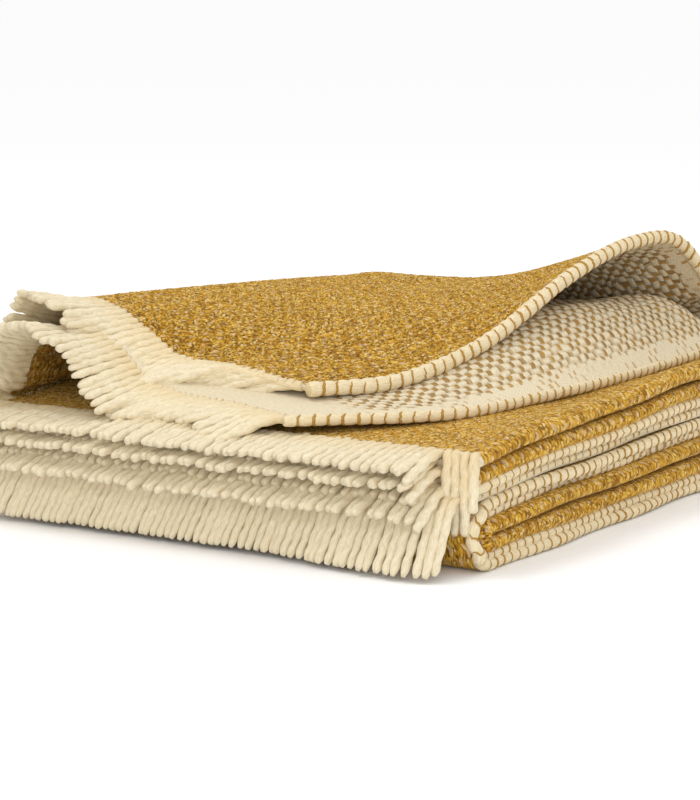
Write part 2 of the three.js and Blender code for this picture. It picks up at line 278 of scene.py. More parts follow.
def add_piece(name, points, faces, cloth_places, materials, face_materials=None, relief=None):
    """A mesh from points in millimetres, faces as arrays of three or four corners, and flat places.
    relief is how far each point stands up from the cloth, from -1 to 1; the mustard face paints shade into
    its dips and a highlight onto its raised floats from it."""
    mesh = bpy.data.meshes.new(name)
    mesh.vertices.add(len(points))
    mesh.vertices.foreach_set("co", to_frame(points).astype(np.float32).ravel())
    corners = np.concatenate([group.ravel() for group in faces])
    sizes = np.concatenate([np.full(len(group), group.shape[1]) for group in faces])
    starts = np.concatenate([[0], np.cumsum(sizes)[:-1]])
    mesh.loops.add(len(corners))
    mesh.loops.foreach_set("vertex_index", corners.astype(np.int32))
    mesh.polygons.add(len(sizes))
    mesh.polygons.foreach_set("loop_start", starts.astype(np.int32))
    mesh.polygons.foreach_set("use_smooth", np.ones(len(sizes), bool))
    for material in materials:
        mesh.materials.append(material)
    if face_materials is not None:
        mesh.polygons.foreach_set("material_index", face_materials.astype(np.int32))
    layer = mesh.uv_layers.new(name="cloth")
    layer.data.foreach_set("uv", cloth_places[corners].astype(np.float32).ravel())
    if relief is not None:
        heights = mesh.attributes.new("relief", "FLOAT", "POINT")
        heights.data.foreach_set("value", relief.astype(np.float32))
    mesh.update(calc_edges=True)
    piece = bpy.data.objects.new(name, mesh)
    bpy.context.collection.objects.link(piece)
    return piece


def grid_faces(rows, columns):
    index = np.arange(rows * columns).reshape(rows, columns)
    corners = [index[:-1, :-1], index[1:, :-1], index[1:, 1:], index[:-1, 1:]]
    return np.stack(corners, axis=-1).reshape(-1, 4)


def rim_faces(rows, columns):
    """The walls between the edges of two grids, the second numbered after the first."""
    index = np.arange(rows * columns).reshape(rows, columns)
    edge = np.concatenate([index[:-1, 0], index[-1, :-1], index[:0:-1, -1], index[0, :0:-1]])
    following = np.roll(edge, -1)
    under = rows * columns
    return np.stack([edge, edge + under, following + under, following], axis=-1)


def pillow_relief(places):
    """How the cream face rises over each pillow of the weave, as in the cream face's material."""
    across, along = places[..., 0] / PILLOW_WIDTH, places[..., 1] / PILLOW_LENGTH
    row = np.floor(across)
    along = along + 0.5 * (row % 2)
    from_side = 0.5 - np.abs(across - row - 0.5)
    from_end = 0.5 - np.abs(along - np.floor(along) - 0.5)
    woven = smooth(places[..., 0], *WOVEN_FROM["selvedge"]) * smooth(places[..., 1], *WOVEN_FROM["fringe"])
    return PILLOW_RELIEF * (smooth(from_side, 0, 0.35) * smooth(from_end, 0, 0.2) - 1) * woven


def grain_relief(places):
    """The mustard face's short floats stand up unevenly, from -1 to 1."""
    return np.random.default_rng(81).uniform(-1, 1, places.shape[:2])


def make_sheet(name, middle, places, mustard_side, rough=0.0):
    """Cloth of the real thickness around a grid of middle points. mustard_side is 1 where the
    mustard face looks along across x along, and -1 where it looks the other way. rough is how
    much of the weave's relief its surface has."""
    rows, columns = middle.shape[:2]
    normal = unit(np.cross(np.gradient(middle, axis=0), np.gradient(middle, axis=1)))
    places = places + np.stack([across_drift(places[..., 0], places[..., 1]),
                                along_drift(places[..., 0], places[..., 1])], axis=-1)
    grain_and_painted_shade = pillows = np.zeros((rows, columns))
    if rough:
        grain_and_painted_shade, pillows = rough * grain_relief(places), rough * pillow_relief(places)
    mustard_height, cream_height = GRAIN_RELIEF * grain_and_painted_shade, pillows
    heights = (mustard_height, cream_height) if mustard_side > 0 else (cream_height, mustard_height)
    upper = middle + normal * (CLOTH / 2 + heights[0])[..., None]
    lower = middle - normal * (CLOTH / 2 + heights[1])[..., None]
    points = np.concatenate([upper.reshape(-1, 3), lower.reshape(-1, 3)])
    points[:, 2] = np.maximum(points[:, 2], 0)
    face = grid_faces(rows, columns)
    back = face[:, ::-1] + rows * columns
    rim = rim_faces(rows, columns)
    cloth_places = np.concatenate([places.reshape(-1, 2)] * 2)
    sides = (0, 1) if mustard_side > 0 else (1, 0)
    face_materials = np.concatenate([
        np.full(len(face), sides[0]), np.full(len(back), sides[1]), np.full(len(rim), 1),
    ])
    materials = [MATERIALS["mustard_face"], MATERIALS["cream_face"]]
    # The mustard side's grain relief also goes to the relief attribute, which its material turns into
    # painted shade and painted highlight.
    reliefs = (grain_and_painted_shade, 0 * grain_and_painted_shade) if mustard_side > 0 else (0 * grain_and_painted_shade, grain_and_painted_shade)
    relief = np.concatenate([side.ravel() for side in reliefs])
    piece = add_piece(name, points, [face, back, rim], cloth_places, materials, face_materials, relief)
    width = float(np.ptp(places[..., 0], axis=0).mean()) * MM
    length = float(np.ptp(places[..., 1], axis=1).mean()) * MM
    return piece, (width, length)


def sides_along(tangent):
    """A direction across each ring of some tubes, which turns no more than the tubes do."""
    side = np.cross(tangent[:, 0], (0.0, 0.0, 1.0))
    side = np.where(np.linalg.norm(side, axis=-1, keepdims=True) < 0.2, (1.0, 0.0, 0.0), side)
    found = []
    for ring in range(tangent.shape[1]):
        heading = tangent[:, ring]
        side = unit(side - heading * (side * heading).sum(axis=-1, keepdims=True))
        found.append(side)
    return np.stack(found, axis=1)


def tube_faces(count, rings, sides):
    """The walls and ends of tubes, each of which has its rings' points and then its ends' middles."""
    per_tube = rings * sides + 2
    ring_index = np.arange(rings * sides).reshape(rings, sides)
    beside = np.roll(ring_index, -1, axis=1)
    walls = np.stack([ring_index[:-1], beside[:-1], beside[1:], ring_index[1:]], axis=-1).reshape(-1, 4)
    first = np.stack([beside[0], ring_index[0], np.full(sides, per_tube - 2)], axis=-1)
    last = np.stack([ring_index[-1], beside[-1], np.full(sides, per_tube - 1)], axis=-1)
    offsets = (np.arange(count) * per_tube)[:, None, None]
    groups = (walls, np.concatenate([first, last]))
    return [(group[None] + offsets).reshape(-1, group.shape[1]) for group in groups]


def make_tubes(name, paths, radii, sides, material, lobes=0.0, twist=0.0, phases=None):
    """Closed tubes along paths, an array of (tube, ring, xyz). lobes is how far a section pinches
    between two plies, which twist once over the length given."""
    paths = np.asarray(paths, float)
    count, rings = paths.shape[:2]
    tangent = unit(np.gradient(paths, axis=1))
    side = sides_along(tangent)
    up = np.cross(tangent, side)
    along = arc_lengths(paths, 1)
    angle = np.linspace(0, 2 * math.pi, sides, endpoint=False)
    phase = np.zeros(count) if phases is None else phases
    turned = phase[:, None] + (along * 2 * math.pi / twist if twist else 0 * along)
    pinch = 1 - lobes * np.sin(angle[None, None, :] - turned[:, :, None]) ** 2
    radius = radii[:, :, None] * pinch
    points = (
        paths[:, :, None, :]
        + (radius * np.cos(angle))[..., None] * side[:, :, None, :]
        + (radius * np.sin(angle))[..., None] * up[:, :, None, :]
    )
    ends = np.stack([paths[:, 0], paths[:, -1]], axis=1)
    all_points = np.concatenate([points.reshape(count, -1, 3), ends], axis=1).reshape(-1, 3)
    round_it = np.abs(angle / math.pi - 1)[None, None, :] + phase[:, None, None]
    ring_places = np.stack(np.broadcast_arrays(along[:, :, None], round_it), axis=-1)
    end_places = np.stack([np.stack([along[:, end], phase], axis=-1) for end in (0, -1)], axis=1)
    places = np.concatenate([ring_places.reshape(count, -1, 2), end_places], axis=1).reshape(-1, 2)
    return add_piece(name, all_points, tube_faces(count, rings, sides), places, [material])


# ---------------------------------------------------------------- materials
def linear(red, green, blue):
    def channel(value):
        value /= 255
        return value / 12.92 if value <= 0.04045 else ((value + 0.055) / 1.055) ** 2.4

    return (channel(red), channel(green), channel(blue), 1.0)


class Shading:
    """A material's nodes, made one call at a time."""

    def __init__(self, name, roughness, sheen, sheen_tint):
        self.material = bpy.data.materials.new(name)
        self.material.use_nodes = True
        self.tree = self.material.node_tree
        self.surface = self.tree.nodes["Principled BSDF"]
        self.surface.inputs["Roughness"].default_value = roughness
        self.surface.inputs["Specular IOR Level"].default_value = 0.2
        self.surface.inputs["Sheen Weight"].default_value = sheen
        self.surface.inputs["Sheen Roughness"].default_value = 0.6
        self.surface.inputs["Sheen Tint"].default_value = sheen_tint
        places = self.node("ShaderNodeUVMap")
        places.uv_map = "cloth"
        split = self.node("ShaderNodeSeparateXYZ", {"Vector": places.outputs[0]})
        self.across, self.along = split.outputs[0], split.outputs[1]

    def node(self, kind, inputs=None, **settings):
        node = self.tree.nodes.new(kind)
        for key, value in settings.items():
            setattr(node, key, value)
        for key, value in (inputs or {}).items():
            if isinstance(value, bpy.types.NodeSocket):
                self.tree.links.new(value, node.inputs[key])
            else:
                node.inputs[key].default_value = value
        return node

    def math(self, operation, *values):
        node = self.node("ShaderNodeMath", dict(enumerate(values)), operation=operation)
        return node.outputs[0]

    def vector(self, x, y, z=0.0):
        return self.node("ShaderNodeCombineXYZ", {0: x, 1: y, 2: z}).outputs[0]

    def flat_place(self, across, along):
        """A place on the flat cloth, in steps of so many millimetres across and along."""
        steps_across = self.math("DIVIDE", self.across, across)
        return self.vector(steps_across, self.math("DIVIDE", self.along, along))

    def noise(self, vector, scale=1.0, detail=2.0):
        inputs = {"Vector": vector, "Scale": scale, "Detail": detail}
        return self.node("ShaderNodeTexNoise", inputs).outputs[0]

    def cells(self, vector):
        """Distance from a cell's middle and a random number for each cell."""
        node = self.node("ShaderNodeTexVoronoi", {"Vector": vector, "Scale": 1.0, "Randomness": 1.0})
        pick = self.node("ShaderNodeSeparateColor", {0: node.outputs["Color"]})
        return node.outputs["Distance"], pick.outputs[0]

    def weave(self):
        """The weave's lattice: rows across the cloth, of pillows that lie along it, half staggered.
        Gives how far a place is from its pillow's side and end, up to 0.5, and the pillow's chance."""
        across = self.math("DIVIDE", self.across, PILLOW_WIDTH)
        row = self.math("FLOOR", across)
        stagger = self.math("MULTIPLY", self.math("FLOORED_MODULO", row, 2.0), 0.5)
        along = self.math("ADD", self.math("DIVIDE", self.along, PILLOW_LENGTH), stagger)
        pillow = self.math("FLOOR", along)
        from_side = self.math("PINGPONG", self.math("SUBTRACT", across, row), 0.5)
        from_end = self.math("PINGPONG", self.math("SUBTRACT", along, pillow), 0.5)
        place = {"Vector": self.vector(row, pillow)}
        chance = self.node("ShaderNodeTexWhiteNoise", place, noise_dimensions="2D").outputs[0]
        return from_side, from_end, chance

    def step(self, value, low, high):
        settings = {"Value": value, "From Min": low, "From Max": high, "To Min": 0.0, "To Max": 1.0}
        return self.node("ShaderNodeMapRange", settings, interpolation_type="SMOOTHSTEP").outputs[0]

    def ramp(self, value, stops):
        node = self.node("ShaderNodeValToRGB", {0: value})
        ramp = node.color_ramp
        while len(ramp.elements) < len(stops):
            ramp.elements.new(1.0)
        for element, (place, colour) in zip(ramp.elements, stops):
            element.position = place
            element.color = colour
        return node.outputs[0]

    def mix(self, share, first, second, blend="MIX"):
        inputs = {0: share, 6: first, 7: second}
        return self.node("ShaderNodeMix", inputs, data_type="RGBA", blend_type=blend).outputs[2]

    def finish(self, colour, height, depth):
        """Sets the colour, and bumps as deep as depth, in millimetres."""
        bump = self.node("ShaderNodeBump", {"Height": height, "Distance": depth * MM})
        self.tree.links.new(colour, self.surface.inputs["Base Color"])
        self.tree.links.new(bump.outputs[0], self.surface.inputs["Normal"])
        return self.material


def mustard_face():
    """Short floats in every shade of mustard, with cream specks at the knots of the weave."""
    s = Shading("mustard_face", 0.95, 0.35, linear(236, 198, 110))
    from_side, from_end, chance = s.weave()
    distance, pick = s.cells(s.flat_place(1.2, 1.7))
    colour = s.ramp(pick, [
        (0.0, linear(100, 60, 4)), (0.14, linear(144, 94, 8)), (0.34, linear(184, 130, 22)),
        (0.62, linear(208, 158, 44)), (0.86, linear(222, 184, 88)), (1.0, linear(224, 198, 142)),
    ])
    gap = s.step(distance, 0.4, 0.85)
    colour = s.mix(s.math("MULTIPLY", gap, 0.5), colour, linear(96, 58, 4))
    jitter = s.noise(s.flat_place(1.8, 1.8), detail=1.0)
    beside = s.math("MULTIPLY", s.math("SUBTRACT", 0.5, from_side), PILLOW_WIDTH * 1.6)
    beyond = s.math("MULTIPLY", from_end, PILLOW_LENGTH)
    radius = s.math("SQRT", s.math("ADD", s.math("POWER", beside, 2.0), s.math("POWER", beyond, 2.0)))
    radius = s.math("ADD", radius, s.math("MULTIPLY", s.math("SUBTRACT", jitter, 0.5), 2.4))
    speck = s.math("MULTIPLY", s.step(radius, 2.5, 1.5), s.step(chance, 0.15, 0.3))
    colour = s.mix(s.math("MULTIPLY", speck, 0.48), colour, linear(230, 204, 170))
    patch = s.noise(s.flat_place(24, 30), detail=3.0)
    patch_shade = s.ramp(patch, [(0.3, (0.7, 0.62, 0.5, 1)), (0.7, (1, 1, 1, 1))])
    colour = s.mix(0.25, colour, patch_shade, "MULTIPLY")
    # The relief attribute paints shade into the mustard face's dips and a painted highlight onto its
    # raised floats.
    relief = s.node("ShaderNodeAttribute", attribute_name="relief").outputs["Fac"]
    grain_and_painted_shade = s.ramp(s.math("MULTIPLY_ADD", relief, 0.5, 0.5), [
        (0.0, (0.42, 0.34, 0.16, 1)), (0.35, (0.8, 0.74, 0.6, 1)),
        (0.5, (1, 1, 1, 1)), (1.0, (1.12, 1.1, 1.06, 1)),
    ])
    colour = s.mix(1.0, colour, grain_and_painted_shade, "MULTIPLY")
    bump = s.math("ADD", s.math("SUBTRACT", 1.0, gap), s.math("MULTIPLY", pick, 0.5))
    return s.finish(colour, bump, 0.5)


def cream_face():
    """Cream warp in staggered pillows, with a mustard tick of weft between one and the next, and painted
    ochre shade in the grooves round the pillows.
    """
    s = Shading("cream_face", 0.95, 0.15, linear(250, 240, 215))
    from_side, from_end, chance = s.weave()
    ragged = s.math("SUBTRACT", s.noise(s.flat_place(1.8, 2.2), detail=2.0), 0.5)
    from_side = s.math("ADD", from_side, s.math("MULTIPLY", ragged, 0.3))
    from_end = s.math("ADD", from_end, s.math("MULTIPLY", ragged, 0.2))
    from_selvedge = s.step(s.across, *WOVEN_FROM["selvedge"])
    woven = s.math("MULTIPLY", from_selvedge, s.step(s.along, *WOVEN_FROM["fringe"]))
    dip = s.math("MULTIPLY", s.step(from_side, 0.25, 0.0), 0.6)
    end_dip = s.step(from_end, 0.22, 0.06)
    groove = s.math("MULTIPLY", s.math("MAXIMUM", dip, end_dip), woven)
    tick = s.math("MULTIPLY", s.step(from_end, 0.25, 0.15), s.step(from_side, -0.02, 0.1))
    likely = s.math("MULTIPLY", woven, 0.7)
    tick = s.math("MULTIPLY", tick, s.step(s.math("ADD", chance, likely), 0.7, 0.95))
    tick = s.math("MULTIPLY", tick, s.step(s.along, 30.0, 60.0))
    fibre = s.noise(s.flat_place(0.9, 1.8), detail=3.0)
    colour = s.ramp(fibre, [
        (0.2, linear(192, 174, 136)), (0.5, linear(214, 200, 170)), (0.8, linear(228, 219, 196)),
    ])
    # Painted ochre shade where the pillows dip into their grooves.
    colour = s.mix(s.math("MULTIPLY", groove, 0.55), colour, linear(176, 142, 80))
    shade = s.ramp(chance, [(0.0, linear(116, 78, 16)), (1.0, linear(172, 128, 42))])
    colour = s.mix(s.math("MULTIPLY", tick, 0.85), colour, shade)
    bump = s.math("SUBTRACT", 1.0, groove)
    bump = s.math("ADD", bump, s.math("MULTIPLY", fibre, 0.4))
    return s.finish(colour, bump, 0.9)


def cream_yarn(name, shades, depth, painted_shade_length):
    """Soft twisted wool, with painted warm shade over painted_shade_length from its root. On tubes, across
    is the way along a strand, and along is the way round it."""
    s = Shading(name, 0.85, 0.2, linear(250, 240, 215))
    lay = s.math("ADD", s.math("DIVIDE", s.across, 11), s.math("MULTIPLY", s.along, 1.5))
    round_it, forward = s.math("MULTIPLY", s.along, 9), s.math("DIVIDE", s.across, 9)
    fibre = s.noise(s.vector(lay, round_it, forward), scale=2.2, detail=3.0)
    colour = s.ramp(fibre, [(0.2, shades[0]), (0.5, shades[1]), (0.8, shades[2])])
    # Painted golden shade near the root, where the strands lie in each other's shade.
    painted_root_shade = s.math("MULTIPLY", s.step(s.across, painted_shade_length, 0.0), 0.4)
    colour = s.mix(painted_root_shade, colour, linear(212, 180, 118))
    return s.finish(colour, fibre, depth)


def mustard_yarn():
    s = Shading("mustard_yarn", 0.9, 0.1, linear(236, 190, 96))
    fibre = s.noise(s.vector(s.across, s.math("MULTIPLY", s.along, 5)), detail=2.0)
    colour = s.ramp(fibre, [(0.3, linear(140, 102, 38)), (0.7, linear(190, 150, 76))])
    return s.finish(colour, fibre, 0.2)


FRINGE_SHADES = (linear(206, 186, 146), linear(226, 212, 180), linear(239, 231, 209))
SELVEDGE_SHADES = (linear(200, 178, 134), linear(218, 201, 164), linear(232, 221, 194))
MATERIALS = {
    "mustard_face": mustard_face(),
    "cream_face": cream_face(),
    "fringe": cream_yarn("fringe", FRINGE_SHADES, depth=0.6, painted_shade_length=26.0),
    "selvedge": cream_yarn("selvedge", SELVEDGE_SHADES, depth=0.35, painted_shade_length=0.1),
    "mustard_yarn": mustard_yarn(),
}


# ---------------------------------------------------------------- the pile's cloth
def half_turn(middle_x, reach, from_offset, to_offset):
    """The cloth turning over at a side, as (x, offset) from one leaf's offset to another's."""
    angle = np.linspace(0, math.pi, SIDE_TURN_STEPS + 1)[1:-1]
    centre, half = (from_offset + to_offset) / 2, (from_offset - to_offset) / 2
    return np.stack([middle_x + reach * np.sin(angle), centre + half * np.cos(angle)], axis=-1)


def straight(start, end, offset, shown=False):
    """One leaf across the pile, sampled finely near its right-hand end, and further in where it shows."""
    low, high = min(start, end), max(start, end)
    inner, spacing = (125, FINE) if shown else (45, 3)
    places = stations(
        (low, low + 20, COARSE), (low + 20, high - inner, 4 * COARSE),
        (high - inner, high - 12, spacing), (high - 12, high, 1.5),
    )
    if start > end:
        places = places[::-1]
    return np.stack([places, np.full(len(places), offset)], axis=-1)


# The four leaves of a group, from its middle.
TOP, SECOND, THIRD, FOURTH = 1.5 * PITCH, 0.5 * PITCH, -0.5 * PITCH, -1.5 * PITCH
EDGE = RIGHT - CORD_RADIUS - 1  # the cloth ends inside its selvedge
ROLL = RIGHT - ROLL_REACH


def double_leaf_profile(shown=False):
    """The lower two leaves of a group and the rolled fold between them, as (x, offset)."""
    return np.concatenate([
        straight(LEFT, ROLL, FOURTH),
        half_turn(ROLL, ROLL_REACH - CLOTH / 2 + ROLL_BULGE, FOURTH, THIRD),
        straight(ROLL, LEFT, THIRD, shown),
    ])


def full_profile():
    """The cloth's whole width, folded into the four leaves of a group, as (x, offset)."""
    return np.concatenate([
        straight(EDGE, LEFT, TOP),
        half_turn(LEFT, -SIDE_REACH["outer"], TOP, FOURTH),
        double_leaf_profile(),
        half_turn(LEFT, -SIDE_REACH["inner"], THIRD, SECOND),
        straight(LEFT, EDGE, SECOND),
    ])


def turn_course(centre_y, centre_leaf, radius, start, end, facing):
    """Places and facings along a fold at one end of the pile, at angles from start to end."""
    angle = np.radians(np.linspace(start, end, END_TURN_STEPS + 1)[1:-1])
    middle = leaf_height(centre_leaf)
    place = np.stack([centre_y + radius * np.cos(angle), middle + radius * np.sin(angle)], axis=-1)
    return np.concatenate([place, facing * np.stack([np.cos(angle), np.sin(angle)], axis=-1)], axis=-1)


def run_course(start, end, height, facing, spacing=6):
    """Places and facings along a straight run, as rows of y, z and the facing in y and z."""
    low, high = min(start, end), max(start, end)
    places = stations((low, low + 20, 2.5), (low + 20, high - 10, spacing), (high - 10, high, 2.5))
    if start > end:
        places = places[::-1]
    rest = np.tile([height, 0.0, facing], (len(places), 1))
    return np.concatenate([places[:, None], rest], axis=1)


FIRST_GROUP, SECOND_GROUP, THIRD_GROUP, FOURTH_GROUP = (
    leaf_height(first_leaf + 1.5) for first_leaf in (1, 5, 9, 13)
)


def upper_course():
    """From the upper fringe over the first group and round the far fold, to lower_course's start."""
    return np.concatenate([
        run_course(0, BACK, FIRST_GROUP, 1, FINE),
        turn_course(BACK, FAR_CENTRE, 6 * PITCH, 90, -90, 1),
        [(BACK, FOURTH_GROUP, 0.0, -1.0)],
    ])


def lower_course():
    """From the far fold through the lower groups to the other fringe."""
    return np.concatenate([
        run_course(BACK, FRONT_TURN, FOURTH_GROUP, -1),
        turn_course(FRONT_TURN, FRONT_CENTRE, 2 * PITCH, -90, -270, 1),
        run_course(FRONT_TURN, BACK, THIRD_GROUP, 1),
        turn_course(BACK, FAR_CENTRE, 2 * PITCH, -90, 90, -1),
        run_course(BACK, 0, SECOND_GROUP, -1),
    ])


def folded(profile, course):
    """The cloth's middle: a folded width, profile, carried along a folded length, course."""
    x, offset = profile[:, 0], profile[:, 1]
    y = course[None, :, 0] + offset[:, None] * course[None, :, 2]
    z = course[None, :, 1] + offset[:, None] * course[None, :, 3]
    return np.stack(np.broadcast_arrays(x[:, None], y, z), axis=-1)


def flat_places(profile, course):
    """The same grid's places on the flat cloth, across and along it."""
    across = arc_lengths(profile[None], 1)[0]
    along = arc_lengths(course[None, :, :2], 1)[0]
    return np.stack(np.broadcast_arrays(across[:, None], along[None]), axis=-1)


def make_pile_cloth():
    profile, course = double_leaf_profile(shown=True), upper_course()
    middle, places = settle(folded(profile, course)), flat_places(profile, course) + (WIDTH, 0.0)
    upper, upper_flat = make_sheet("third_and_fourth_leaves", middle, places, -1, rough=0.3)
    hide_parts("leaf_03_04", "far_fold_03_14", "far_fold_04_13")
    profile, course = full_profile(), lower_course()
    middle, places = settle(folded(profile, course)), flat_places(profile, course)
    lower, lower_flat = make_sheet("lower_leaves", middle, places, -1)
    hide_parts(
        "leaf_05_06", "leaf_07", "leaf_08", "leaf_09", "leaf_10", "leaf_11_12", "leaf_13_14",
        "leaf_15", "leaf_16", "side_fold_05_08", "side_fold_06_07", "side_fold_09_12", "side_fold_10_11",
        "side_fold_13_16", "side_fold_14_15", "front_fold_09_16", "front_fold_10_15", "front_fold_11_14",
        "front_fold_12_13", "far_fold_05_12", "far_fold_06_11", "far_fold_07_10", "far_fold_08_09",
    )
    for piece, flat in ((upper, upper_flat), (lower, lower_flat)):
        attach(piece, "pile")


# ---------------------------------------------------------------- ruffled leaves
# The loop at a ruffled leaf's left, as (share of its reach, height from -1 to 1).
LOOP_SHAPE = ((0.0, -1.0), (0.8, -0.75), (1.0, 0.0), (0.75, 0.8))


def fold_row(angle_degrees, leaf, partner, edge_x, raised):
    """One row of control points on a ruffled leaf's far fold, at an angle from 90, on top, to -90."""
    angle = math.radians(angle_degrees)
    high = float(smooth(math.sin(angle), -1, 1))
    middle = leaf_height(FAR_CENTRE)
    radius = leaf_height(leaf) - middle
    end_x = EDGE + (edge_x - EDGE) * high
    inner_radius = leaf_height(partner) - middle
    kind = "outer" if leaf == 1 else "inner"
    reach = SIDE_REACH[kind] + (LOOSE_SIDE_REACH[kind] - SIDE_REACH[kind]) * high
    row = []
    for out, place in LOOP_SHAPE:
        share = (place + 1) / 2
        r = inner_radius + (radius - inner_radius) * share
        lift = raised[0] * high * share
        row.append((LEFT - reach * out, BACK + r * math.cos(angle), middle + r * math.sin(angle), lift))
    for step, raised_here in enumerate(raised):
        x = RUFFLE_LEFT + (end_x - RUFFLE_LEFT) * step / (len(raised) - 1)
        lift = raised_here * high
        y = BACK + (radius + lift * 0.4) * math.cos(angle)
        row.append((x, y, middle + radius * math.sin(angle), lift))
    row = np.array(row)
    settled = settle(row[:, :3])
    settled[:, 2] += row[:, 3]
    return settled


def ruffled_rows(rows, leaf, partner):
    """All control rows of a ruffled leaf, with the loose loop at its left and its far fold."""
    kind = "outer" if leaf == 1 else "inner"
    reach = LOOSE_SIDE_REACH[kind]
    whole = []
    for row in rows:
        side_y, side_z = row[0][1:]
        below = settle(np.array([LEFT, side_y, leaf_height(partner)], float))[2]
        loop = []
        for out, place in LOOP_SHAPE:
            share = (place + 1) / 2
            loop.append((LEFT - reach * out, side_y, below + (side_z - below) * share * 0.9))
        whole.append(np.array(loop + list(row), float))
    last_row = np.array(rows[-1], float)
    flat_row = last_row.copy()
    flat_row[:, 2] = leaf_height(leaf)
    raised = last_row[:, 2] - settle(flat_row)[:, 2]
    edge_x = rows[-1][-1][0]
    for angle in FAR_FOLD_ANGLES:
        whole.append(fold_row(angle, leaf, partner, edge_x, raised))
    return np.stack(whole)


def ruffle_surface(rows):
    """The leaf's middle at (u, v): u from the fold to the selvedge, v from the fringe to the far fold."""
    columns = np.swapaxes(rows, 0, 1)

    def at(u, v):
        sections = smooth_curve(columns, np.atleast_1d(u))
        return np.swapaxes(smooth_curve(np.swapaxes(sections, 0, 1), np.atleast_1d(v)), 0, 1)

    return at


TOP_SURFACE = ruffle_surface(ruffled_rows(TOP_LEAF, 1, 4))
SECOND_SURFACE = ruffle_surface(ruffled_rows(SECOND_LEAF, 2, 3))


def surface_lengths(surface, lines, axis):
    """Places from 0 to 1 along a surface, and how far along it they are, averaged over some lines."""
    samples = np.linspace(0, 1, SAMPLES)
    if axis == 0:
        return samples, arc_lengths(surface(samples, lines), 0).mean(axis=1)
    return samples, arc_lengths(surface(lines, samples), 1).mean(axis=0)


def places_along(surface, lines, axis, fine_from, fine_to):
    """Places along a surface, averaged over a few of its lines: fine between two lengths, which
    count from the end when they're negative, and coarse elsewhere."""
    samples, lengths = surface_lengths(surface, lines, axis)
    total = lengths[-1]
    low = fine_from if fine_from >= 0 else total + fine_from
    high = min(fine_to, total)
    stretches = [(low, high, FINE)]
    if low > 0:
        stretches.insert(0, (0, low, COARSE))
    if high < total:
        stretches.append((high, total, COARSE))
    return np.interp(stations(*stretches), lengths, samples)


def make_ruffled_cloth(name, surface, mustard_side):
    u = places_along(surface, np.array([0.1, 0.3, 0.5]), 0, -FINE_WIDTH[name], math.inf)
    v = places_along(surface, np.array([0.5, 0.8, 1.0]), 1, 0, BACK + 10)
    middle = surface(u, v)
    from_selvedge = arc_lengths(middle[::-1], 0)[::-1]
    along = arc_lengths(middle, 1)
    places = np.stack([from_selvedge, along], axis=-1)
    return make_sheet(name, middle, places, mustard_side, rough=1.0)


def turning(piece):
    """Bakes the piece's placing into its mesh's points."""
    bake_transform(piece)


def make_ruffled_leaves():
    top, top_flat = make_ruffled_cloth("top_leaf_cloth", TOP_SURFACE, 1)
    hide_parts("top_leaf_corner", "top_leaf_held", "side_fold_01_04", "far_fold_01_16")
    turning(top)
    second, second_flat = make_ruffled_cloth("second_leaf_cloth", SECOND_SURFACE, -1)
    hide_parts("second_leaf_corner", "second_leaf_held", "side_fold_02_03", "far_fold_02_15")
    turning(second)


# ---------------------------------------------------------------- selvedges
def resample(path, spacing):
    lengths = arc_lengths(path[None], 1)[0]
    places = np.linspace(0, lengths[-1], int(lengths[-1] / spacing) + 1)
    return np.stack([np.interp(places, lengths, path[:, k]) for k in range(3)], axis=-1)


def make_cord(name, path, radius, outward, seed, bold=1.0):
    """A cord that swells between its mustard wraps, and the wraps, bold times as thick as usual,
    across its outer side."""
    rng = np.random.default_rng(seed)
    lengths = arc_lengths(path[None], 1)[0]
    path = resample(path, CORD_SPACING)
    along = arc_lengths(path[None], 1)[0]
    radius = np.interp(along, lengths, np.broadcast_to(radius, lengths.shape))
    wave = np.abs(np.sin(math.pi * along / WRAP_PITCH))
    # fullest halfway between two wraps
    swell = radius * (0.82 + 0.2 * wave**0.7) * (1 + 0.03 * ripples(seed, 30)(along, 0))
    cord = make_tubes(f"{name}_cord", path[None], swell[None], CORD_SIDES, MATERIALS["selvedge"])
    tangent = unit(np.gradient(path, axis=0))
    if np.ndim(outward) == 1:
        out = np.broadcast_to(outward, path.shape)
    else:
        out = np.stack([np.interp(along, lengths, outward[:, k]) for k in range(3)], axis=-1)
    out = unit(out - tangent * (out * tangent).sum(axis=-1, keepdims=True))
    up = np.cross(tangent, out)
    wraps, thickness = [], []
    bend = np.radians(np.linspace(-WRAP_REACH, WRAP_REACH, WRAP_POINTS))
    across, lift = np.cos(bend)[:, None], np.sin(bend)[:, None]
    for number in range(1, int(along[-1] / WRAP_PITCH)):
        centre = number * WRAP_PITCH + rng.uniform(-0.6, 0.6)
        place = centre - rng.uniform(1.2, 2.4) * np.cos(bend) + 1.2
        index = np.clip(np.searchsorted(along, place), 0, len(path) - 1)
        r = radius[index][:, None] * WRAP_SINK
        wraps.append(path[index] + r * across * out[index] + r * lift * up[index])
        thinning = 0.45 + 0.55 * np.cos(bend / 1.4)
        thickness.append(WRAP_RADIUS * bold * rng.uniform(0.7, 1.3) * thinning)
    paths, radii = np.stack(wraps), np.stack(thickness)
    wrap = make_tubes(f"{name}_wraps", paths, radii, WRAP_SIDES, MATERIALS["mustard_yarn"])
    return cord, wrap


def pile_cord(offset, leaves):
    """One long selvedge, from the far fold's lower end to the fringe, and its radius on the way."""
    course = lower_course()
    y = course[:, 0] + offset * course[:, 2]
    z = course[:, 1] + offset * course[:, 3]
    heights = [leaf_height(leaf) for leaf in leaves]
    radius, out, up = (np.interp(z, heights, [CORDS[leaf][k] for leaf in leaves]) for k in range(3))
    path = settle(np.stack([RIGHT - CORD_RADIUS + out, y, z + up], axis=-1))
    path[:, 2] = np.maximum(path[:, 2], radius)
    return path, radius


